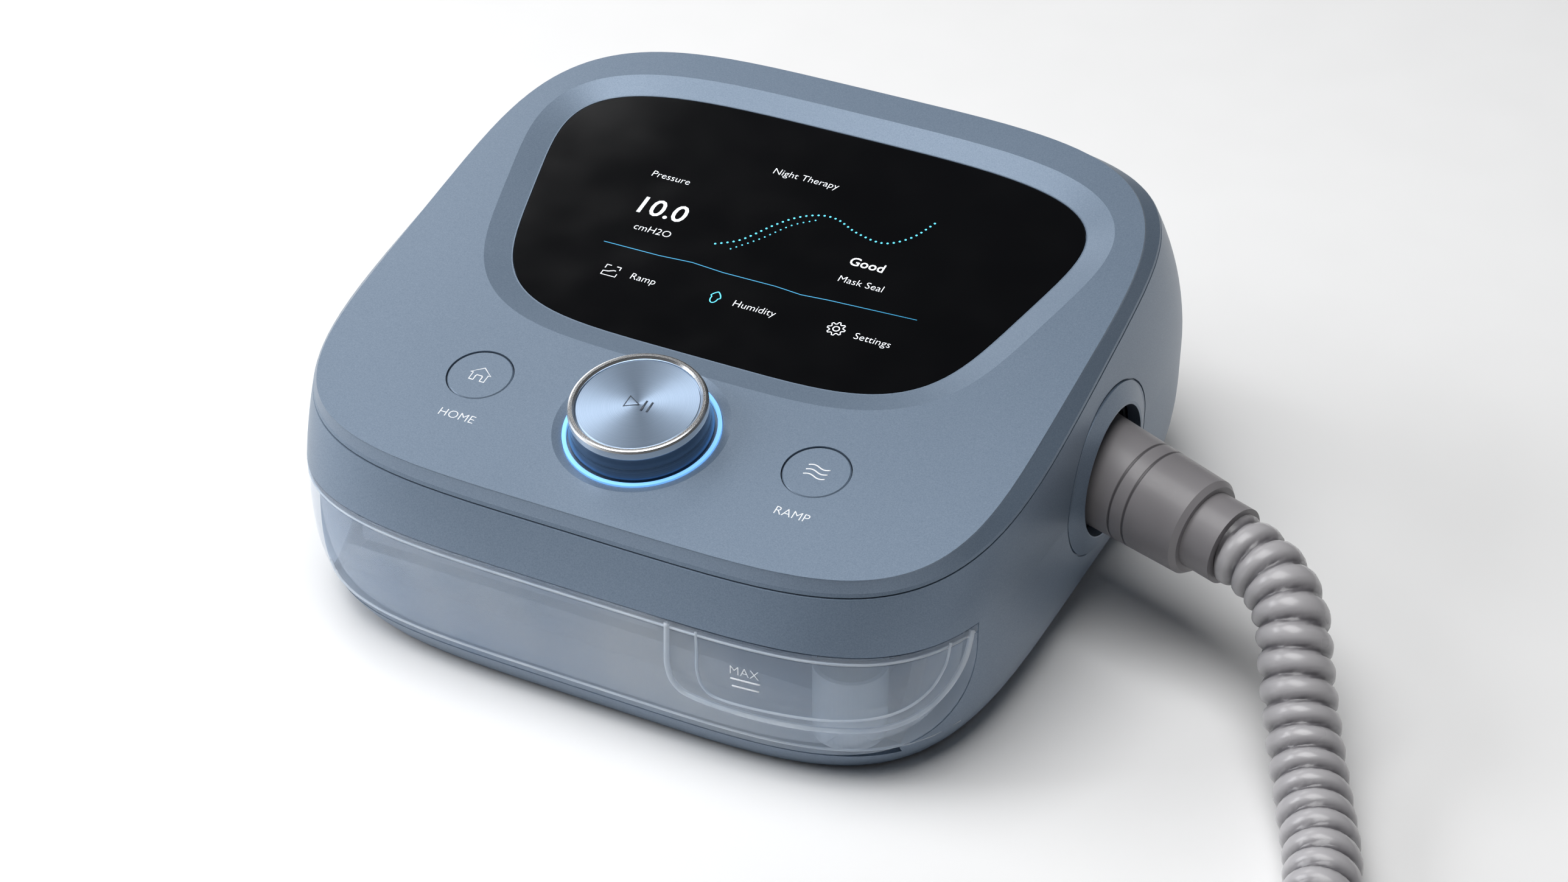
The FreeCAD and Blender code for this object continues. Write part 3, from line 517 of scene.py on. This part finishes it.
def start_tree(name, floats, result="Geometry"):
    tree = bpy.data.node_groups.new(name, "GeometryNodeTree")
    tree.interface.new_socket("Geometry", in_out="INPUT", socket_type="NodeSocketGeometry")
    for label, value in floats.items():
        socket = tree.interface.new_socket(label, in_out="INPUT", socket_type="NodeSocketFloat")
        socket.default_value = value
    tree.interface.new_socket("Finish", in_out="INPUT", socket_type="NodeSocketMaterial")
    tree.interface.new_socket(result, in_out="OUTPUT", socket_type="NodeSocketGeometry")
    return tree, tree.nodes.new("NodeGroupInput").outputs, tree.nodes.new("NodeGroupOutput").inputs


def end_tree(tree, shape, finish, output):
    realize = tree.nodes.new("GeometryNodeRealizeInstances")
    paint = tree.nodes.new("GeometryNodeSetMaterial")
    join_nodes(tree, [(shape, realize.inputs[0]), (realize.outputs[0], paint.inputs["Geometry"]),
                      (finish, paint.inputs["Material"]), (paint.outputs[0], output)])


def make_rib_tree():
    tree, given, output = start_tree("spiral_rib", {"Core Radius": 0.0082, "Rib Height": 0.0018,
                                                    "Pitch": 0.0072, "Step": 0.00095})
    line = tree.nodes.new("GeometryNodeMeshToCurve")
    resample = tree.nodes.new("GeometryNodeResampleCurve")
    resample.mode = "LENGTH"
    along, around = (tree.nodes.new("GeometryNodeSplineParameter") for _ in range(2))
    circle = tree.nodes.new("GeometryNodeCurvePrimitiveCircle")
    circle.inputs["Resolution"].default_value = 26
    keep_length, keep_angle = (tree.nodes.new("GeometryNodeStoreNamedAttribute") for _ in range(2))
    for keep, label in ((keep_length, "along"), (keep_angle, "around")):
        keep.data_type, keep.domain = "FLOAT", "POINT"
        keep.inputs["Name"].default_value = label
    sweep = tree.nodes.new("GeometryNodeCurveToMesh")
    sweep.inputs["Fill Caps"].default_value = True
    join_nodes(tree, [(given["Geometry"], line.inputs[0]), (line.outputs[0], resample.inputs["Curve"]),
                      (given["Step"], resample.inputs["Length"]),
                      (resample.outputs[0], keep_length.inputs["Geometry"]),
                      (along.outputs["Length"], keep_length.inputs["Value"]),
                      (given["Core Radius"], circle.inputs["Radius"]),
                      (circle.outputs[0], keep_angle.inputs["Geometry"]),
                      (around.outputs["Factor"], keep_angle.inputs["Value"]),
                      (keep_length.outputs[0], sweep.inputs["Curve"]),
                      (keep_angle.outputs[0], sweep.inputs["Profile Curve"])])
    read_length, read_angle = (tree.nodes.new("GeometryNodeInputNamedAttribute") for _ in range(2))
    read_length.inputs["Name"].default_value, read_angle.inputs["Name"].default_value = "along", "around"
    turns = float_math(tree, "DIVIDE", read_length.outputs[0], given["Pitch"])
    phase = float_math(tree, "FRACT", float_math(tree, "ADD", turns, read_angle.outputs[0]), None)
    offset = float_math(tree, "ABSOLUTE", float_math(tree, "SUBTRACT", phase, 0.5), None)
    squared = float_math(tree, "POWER", float_math(tree, "DIVIDE", offset, 0.42), 2.0)
    above = float_math(tree, "MAXIMUM", float_math(tree, "SUBTRACT", 1.0, squared), 0.0)
    round_top = float_math(tree, "SQRT", above, None)
    lift = tree.nodes.new("GeometryNodeSetPosition")
    outward, push = tree.nodes.new("GeometryNodeInputNormal"), tree.nodes.new("ShaderNodeVectorMath")
    push.operation = "SCALE"
    keep_rib = tree.nodes.new("GeometryNodeStoreNamedAttribute")
    keep_rib.data_type, keep_rib.domain = "FLOAT", "POINT"
    keep_rib.inputs["Name"].default_value = "rib_height"
    smooth = tree.nodes.new("GeometryNodeSetShadeSmooth")
    join_nodes(tree, [(outward.outputs[0], push.inputs[0]),
                      (float_math(tree, "MULTIPLY", round_top, given["Rib Height"]), push.inputs["Scale"]),
                      (sweep.outputs[0], lift.inputs["Geometry"]), (push.outputs[0], lift.inputs["Offset"]),
                      (lift.outputs[0], keep_rib.inputs["Geometry"]), (round_top, keep_rib.inputs["Value"]),
                      (keep_rib.outputs[0], smooth.inputs["Geometry"])])
    end_tree(tree, smooth.outputs[0], given["Finish"], output[0])
    return tree


# %% Hose
hose = run_nodes(hose_line, make_rib_tree(), "hose", Finish=FINISHES["hose_plastic"])
print("hose faces", len(hose.data.polygons))

# %% [markdown]
# A strap of hook-and-loop tape holds the coil together. It is one closed band round the turns, drawn
# as a rounded loop and given its width along the hose.

# %% Strap
STRAP_ANGLE, STRAP_WIDTH, STRAP_THICK = math.radians(200.0), 0.016, 0.0012
STRAP_NEAR, STRAP_FAR, STRAP_REACH, FLOOR_GAP = 0.0612, 0.1026, 0.0101, 0.0002


def rounded_loop(near, far, low, high, corner, steps=6):
    """Points of a rectangle with round corners, as (distance from the coil's centre, height)."""
    points = []
    for x, z, first in ((far - corner, high - corner, 0), (near + corner, high - corner, 90),
                        (near + corner, low + corner, 180), (far - corner, low + corner, 270)):
        for step in range(steps + 1):
            angle = math.radians(first + 90 * step / steps)
            points.append((x + corner * math.cos(angle), z + corner * math.sin(angle)))
    return points


def band_mesh(name, inner_loop, outer_loop, half_width):
    count = len(inner_loop)
    vertices = [(x, side * half_width, z) for side in (-1, 1)
                for loop in (inner_loop, outer_loop) for x, z in loop]
    faces = []
    for i in range(count):
        j = (i + 1) % count
        for a, b in ((0, 1), (1, 3), (3, 2), (2, 0)):
            faces.append((a * count + i, a * count + j, b * count + j, b * count + i))
    mesh = bpy.data.meshes.new(name)
    mesh.from_pydata(vertices, [], faces)
    mesh.validate()
    return add_object(name, mesh)


low, high = COIL_HEIGHT - STRAP_REACH, COIL_HEIGHT + STRAP_REACH
inner_loop = rounded_loop(STRAP_NEAR, STRAP_FAR, low, high, 0.008)
outer_loop = rounded_loop(STRAP_NEAR - STRAP_THICK, STRAP_FAR + STRAP_THICK,
                          low - STRAP_THICK + FLOOR_GAP, high + STRAP_THICK, 0.009)
tie = point_outwards(band_mesh("coil_strap", inner_loop, outer_loop, STRAP_WIDTH / 2))
tie.data.transform(Matrix.Translation(COIL_CENTRE) @ Matrix.Rotation(STRAP_ANGLE, 4, "Z"))
finish_piece(tie, "housing", FINISHES["strap"])
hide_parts("hose_tie")

finish_piece(hose, "housing")
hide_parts("hose_tube", "hose_coil")

# %% [markdown]
# Floor and light: a plain white table, one broad light overhead, one softer from the left, and a sky
# that is bright low down and dim high up, so that the dark glass keeps a soft gradient.

# %% Floor, lights and sky
floor_mesh = bpy.data.meshes.new("floor")
floor_mesh.from_pydata([(-4, -4, 0), (4, -4, 0), (4, 4, 0), (-4, 4, 0)], [], [(0, 1, 2, 3)])
floor = add_object("floor", floor_mesh)
floor_mesh.materials.append(grained("floor_white", (0.88, 0.88, 0.88), (0.90, 0.90, 0.90),
                                    rough=(0.6, 0.7), speck=40.0, cloud=1.0, bump=0.0))
floor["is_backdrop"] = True


def add_light(name, place, target, size, power, colour=(1, 1, 1)):
    light = bpy.data.lights.new(name, "AREA")
    light.shape, light.size, light.size_y, light.energy, light.color = "RECTANGLE", *size, power, colour
    lamp = add_object(name, light)
    lamp.location = place
    lamp.rotation_euler = (Vector(target) - Vector(place)).to_track_quat("-Z", "Y").to_euler()


add_light("overhead", (-0.1, -0.25, 1.5), (0, 0, 0), (1.3, 1.1), 22.0)
add_light("left_soft", (-1.3, -0.5, 0.8), (0, 0, 0.05), (0.9, 0.9), 15.0, (0.97, 0.98, 1.0))
add_light("glass_sheen", (-1.08, 0.84, 0.98), (-0.08, 0.06, 0.09), (0.6, 0.6), 3.5)
world = bpy.data.worlds.new("sky")
world.use_nodes = True
bpy.context.scene.world = world
sky = world.node_tree
direction, split = sky.nodes.new("ShaderNodeTexCoord"), sky.nodes.new("ShaderNodeSeparateXYZ")
sky.links.new(direction.outputs["Generated"], split.inputs[0])
dim_above = spread(sky, split.outputs["Z"], 1.3, 0.25, 0.60, 0.80)
sky.links.new(dim_above, sky.nodes["Background"].inputs["Strength"])
bpy.context.scene.view_settings.view_transform = "Standard"

# %% [markdown]
# Marks and screen content are thin raised pieces. Text becomes a mesh with a hair of thickness, and
# line drawings are thin rods pressed almost flat, so that they catch light like real print.


# %% Marks
MARK_FLATNESS, TEXT_THICKNESS = 0.12, 0.015


def text_piece(name, words, size, place, body, finish, matrix=DECK, bold=0.0):
    font = bpy.data.curves.new(name, "FONT")
    font.body, font.size, font.extrude = words, size * MM, TEXT_THICKNESS * MM
    font.resolution_u, font.offset = 3, (bold - 0.05) * MM
    piece = plain_mesh(add_object(name, font), name, matrix @ Matrix.Translation(Vector(place) * MM))
    return finish_piece(point_outwards(piece), body, finish)


def rod_piece(name, strokes, radius, place, body, finish, closed=False):
    """Strokes are lists of points in millimetres in the plane of the mark."""
    flat_strokes = [[(x * MM, y * MM, 0.0) for x, y in stroke] for stroke in strokes]
    rods = rod_curve(name, flat_strokes, radius * MM, 2, closed)
    press = Matrix.Translation(Vector(place) * MM) @ Matrix.Diagonal((1, 1, MARK_FLATNESS, 1))
    piece = plain_mesh(rods, name, DECK @ press)
    return finish_piece(point_outwards(piece), body, finish)


def wavy(width, height, count=16):
    return [(width * (i / count - 0.5), height * math.sin(2 * math.pi * i / count)) for i in range(count + 1)]


# %% Key marks
text_piece("label_home", "HOME", 3.9, (-53.6, -82.6, 0.0), "housing", INK)
text_piece("label_ramp", "RAMP", 3.9, (45.6, -82.6, 0.0), "housing", INK)
house = [(-1.3, -2.3), (-2.3, -2.3), (-2.3, 0.3), (-3.1, 0.3), (0, 2.7), (3.1, 0.3), (2.3, 0.3),
         (2.3, -2.3), (1.0, -2.3), (1.0, -0.7), (0.8, -0.3), (-0.8, -0.3), (-1.0, -0.7), (-1.0, -2.3)]
rod_piece("icon_home", [house], 0.2, (-50, -65.4, -0.09), "home_key", INK, closed=True)
waves = [[(x, y + shift) for x, y in wavy(6.2, 0.45)] for shift in (-1.7, 0, 1.7)]
rod_piece("icon_ramp", waves, 0.2, (50, -65.4, -0.09), "ramp_key", INK)
play = [(-3.2, -2.0), (0.3, 0.0), (-3.2, 2.0)]
rod_piece("icon_play", [play], 0.24, (0, -67.3, 8.40), "knob", DARK_INK, closed=True)
pause = [[(1.8, -1.9), (1.8, 1.9)], [(3.5, -1.9), (3.5, 1.9)]]
rod_piece("icon_pause", pause, 0.28, (0, -67.3, 8.40), "knob", DARK_INK)

# %% Screen content
ON_GLASS = -1.775
SCREEN_WORDS = [
    # name, words, size, place across and up the glass, boldness
    ("pressure_word", "Pressure", 3.5, -46.2, 25.2, 0.0),
    ("pressure_value", "10.0", 9.6, -44.6, 10.0, 0.12),
    ("pressure_unit", "cmH2O", 3.6, -40.4, 3.2, 0.0),
    ("title_word", "Night Therapy", 3.5, -14.0, 38.2, 0.0),
    ("seal_value", "Good", 4.5, 22.6, 11.0, 0.09),
    ("seal_word", "Mask Seal", 3.5, 22.6, 3.8, 0.0),
    ("ramp_word", "Ramp", 3.5, -31.6, -15.6, 0.0),
    ("humidity_word", "Humidity", 3.5, 0.0, -15.4, 0.0),
    ("settings_word", "Settings", 3.5, 36.4, -15.4, 0.0),
]
for name, words, size, u, v, bold in SCREEN_WORDS:
    text_piece(name, words, size, (u, v, ON_GLASS), "housing", WHITE_GLOW, bold=bold)
divider = [(-45.3, -4.4), (-28, -4.3), (-18, -3.6), (-8, -4.3), (8, -4.2), (16, -4.8), (24, -4.1),
           (49.7, -2.8)]
rod_piece("divider_line", [divider], 0.12, (0, 0, ON_GLASS), "housing", BLUE_GLOW)


def angles(count, start=0.0):
    return [2 * math.pi * (i + start) / count for i in range(count)]


drop = [(2.0 * math.sin(a) * (0.62 if math.cos(a) < 0 else 1) * math.sin(a / 2) ** 0.6 if a else 0.0,
         2.2 * math.cos(a)) for a in angles(28)]
rod_piece("icon_drop", [drop], 0.16, (-5.6, -14.0, ON_GLASS), "housing", CYAN_GLOW, closed=True)
teeth = [(2.2 + 0.35 * math.copysign(1, math.cos(8 * a)), a) for a in angles(32, 0.5)]
gear = [(radius * math.cos(a), radius * math.sin(a)) for radius, a in teeth]
hub = [(0.9 * math.cos(a), 0.9 * math.sin(a)) for a in angles(16)]
rod_piece("icon_gear", [gear, hub], 0.16, (30.8, -13.6, ON_GLASS), "housing", WHITE_GLOW, closed=True)
ramp_icon = [[(-2.2, 0.6), (-2.2, 2.0), (-0.8, 2.0)], [(0.9, 2.0), (2.2, 2.0), (2.2, 0.8)],
             [(2.2, -0.8), (2.2, -2.0), (-2.2, -2.0), (-2.2, -0.6), (-0.7, -0.4), (0.7, 0.3), (1.4, 0.3)]]
rod_piece("icon_ramp_small", ramp_icon, 0.16, (-37.6, -14.6, ON_GLASS), "housing", WHITE_GLOW)


# %% [markdown]
# The breathing wave on the screen is a string of small dots. Dots that follow a line are a natural job
# for Geometry Nodes: the line is cut into even steps and a thin disc is placed on each point.


# %% Dot tree
def make_dot_tree():
    tree, given, output = start_tree("dots_on_line", {"Spacing": 0.0012, "Dot Radius": 0.0003})
    line = tree.nodes.new("GeometryNodeMeshToCurve")
    resample = tree.nodes.new("GeometryNodeResampleCurve")
    resample.mode = "LENGTH"
    dot = tree.nodes.new("GeometryNodeMeshCylinder")
    scatter = tree.nodes.new("GeometryNodeInstanceOnPoints")
    dot.inputs["Vertices"].default_value, dot.inputs["Depth"].default_value = 10, 0.00003
    join_nodes(tree, [(given["Geometry"], line.inputs[0]), (line.outputs[0], resample.inputs["Curve"]),
                      (given["Spacing"], resample.inputs["Length"]),
                      (resample.outputs[0], scatter.inputs["Points"]),
                      (given["Dot Radius"], dot.inputs["Radius"]),
                      (dot.outputs["Mesh"], scatter.inputs["Instance"])])
    end_tree(tree, scatter.outputs[0], given["Finish"], output[0])
    return tree


def smooth_line(points, steps=8):
    """A smooth line through every given point."""
    ends = [points[0]] + list(points) + [points[-1]]
    line = []
    for a, b, c, d in zip(ends, ends[1:], ends[2:], ends[3:]):
        for i in range(steps):
            t = i / steps
            line.append(tuple(0.5 * (2 * q + (r - p) * t + (2 * p - 5 * q + 4 * r - s) * t ** 2
                                     + (3 * q - p - 3 * r + s) * t ** 3) for p, q, r, s in zip(a, b, c, d)))
    return line + [tuple(points[-1])]


# %% Breathing wave
DOTS = make_dot_tree()
WAVES = [("wave_upper", [(-15.5, 5.6), (-9.5, 9.6), (-3.6, 18.2), (1.3, 23.6), (7.0, 26.6), (12.4, 26.6),
                         (19.7, 23.4), (28.4, 22.2), (34.6, 27.0), (38.2, 34.6)], 0.32),
         ("wave_lower", [(-10.5, 5.2), (-4.5, 12.0), (1.0, 19.8), (6.5, 24.2)], 0.24)]
for name, points, radius in WAVES:
    line = line_mesh(name, [(u * MM, v * MM, ON_GLASS * MM) for u, v in smooth_line(points)])
    wave = run_nodes(line, DOTS, name, DECK,
                     **{"Spacing": 0.0017, "Dot Radius": radius * MM, "Finish": CYAN_GLOW})
    finish_piece(wave, "housing")
print("wave dots made:", len(WAVES), "lines")

# %% [markdown]
# The tank's front carries a moulded frame round its window, a level word and two short lines. They
# follow the curved front wall, so each point is set on the wall's own rounded-square outline.

# %% Tank front
HALF_WIDTH, HALF_DEPTH, CORNER_POWER, SEAM, FOOT_INSET = 104.0, 106.3, 4.5, 45.0, 9.5


def on_front(x, z, proud=0.0):
    """The point of the tank's front wall at x and height z, moved outwards by proud."""
    inset = FOOT_INSET * (1 - z / SEAM) ** 4 - proud
    half_a, half_b = HALF_WIDTH - inset, HALF_DEPTH - inset
    y = -half_b * (1 - (abs(x) / half_a) ** CORNER_POWER) ** (1 / CORNER_POWER)
    return Vector((x, y, z)) * MM


def wall_rod(name, points, radius, finish, proud=0.0):
    line = [on_front(x, z, proud) for x, z in points]
    piece = point_outwards(plain_mesh(rod_curve(name, [line], radius * MM, 3), name))
    for face in piece.data.polygons:
        face.use_smooth = True
    return finish_piece(piece, "tank", finish)


rib_clear, tree, shader = new_finish("tank_rib", Transmission_Weight=0.3, IOR=1.45)
grain = add_grain(tree, 900.0, 60.0)
tree.links.new(blend_colour(tree, grain.outputs["Cloud"], (0.66, 0.76, 0.88), (0.88, 0.94, 1.0)),
               shader.inputs["Base Color"])
tree.links.new(spread(tree, grain.outputs["Cloud"], 0.06, 0.14), shader.inputs["Roughness"])
shader.inputs["Alpha"].default_value = 0.7
OUTER_FRAME = [(28.2, 43.6), (28.0, 36), (28.0, 29.5), (29.8, 24.2), (35.2, 21.2), (51.6, 20.0), (72.0, 20.2),
               (84.5, 20.8), (91.5, 23.8), (95.8, 29.0), (98.0, 35.5), (98.8, 43.6)]
INNER_FRAME = [(36.5, 43.6), (36.6, 37), (36.6, 31.0), (38.2, 25.9), (43.2, 23.3), (60.3, 23.3), (76.0, 24.0),
               (86.5, 25.8), (92.4, 30.0), (95.2, 36.5), (96.0, 43.6)]
wall_rod("tank_frame_outer", smooth_line(OUTER_FRAME), 0.8, rib_clear, -0.2)
wall_rod("tank_frame_inner", smooth_line(INNER_FRAME), 0.4, rib_clear, -0.1)
RIM_HEIGHT, SILL_HEIGHT = 42.6, 12.0
rim = [(x, RIM_HEIGHT) for x in range(-98, 99, 4)]
wall_rod("tank_rim_line", rim, 0.35, rib_clear, -0.15)
sill = [(x, SILL_HEIGHT) for x in range(-96, 97, 4)]
wall_rod("tank_sill_line", sill, 0.35, rib_clear, -0.15)
for number, (z, x0, x1) in enumerate(((32.0, 46.1, 54.2), (29.6, 46.5, 53.9))):
    wall_rod(f"level_line_{number}", [(x0 + (x1 - x0) * i / 6, z) for i in range(7)], 0.22, INK, 0.1)
front_turn = (Matrix.Translation(on_front(45.6, 33.4, 0.05))
              @ Matrix.Rotation(math.radians(4), 4, "Z") @ Matrix.Rotation(math.radians(90), 4, "X"))
text_piece("level_word", "MAX", 3.9, (0, 0, 0), "tank", INK, matrix=front_turn)

# %% [markdown]
# A clear round cup stands inside the tank's right part, with its foot sunk into the step of the
# tank's floor. It is a turned wall with a floor: one outline swept round its own upright axis.

# %% Cup in the tank
CUP_CENTRE, CUP_SIDES = Vector((71, -87, 0)), 48
CUP_RADIUS, CUP_WALL, CUP_LOW, CUP_HIGH = 10.0, 1.2, 11.4, 33.0
outline = [(CUP_RADIUS, CUP_LOW), (CUP_RADIUS, CUP_HIGH), (CUP_RADIUS - CUP_WALL, CUP_HIGH),
           (CUP_RADIUS - CUP_WALL, CUP_LOW + CUP_WALL)]
vertices, faces = [], []
for side, angle in enumerate(angles(CUP_SIDES)):
    for radius, z in outline:
        spoke = Vector((radius * math.cos(angle), radius * math.sin(angle), z))
        vertices.append((CUP_CENTRE + spoke) * MM)
    for i in range(len(outline) - 1):
        a, b = side * len(outline) + i, ((side + 1) % CUP_SIDES) * len(outline) + i
        faces.append((a, b, b + 1, a + 1))
faces += [[side * len(outline) + end for side in range(CUP_SIDES)] for end in (0, len(outline) - 1)]
cup_mesh = bpy.data.meshes.new("tank_cup")
cup_mesh.from_pydata(vertices, [], faces)
cup = point_outwards(add_object("tank_cup", cup_mesh))
finish_piece(cup, "tank", rib_clear)
print("cup faces", len(cup.data.polygons))

# %% Sizes, then the end
low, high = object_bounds()
print("visual box in mm", [round(v / MM, 1) for v in high - low])
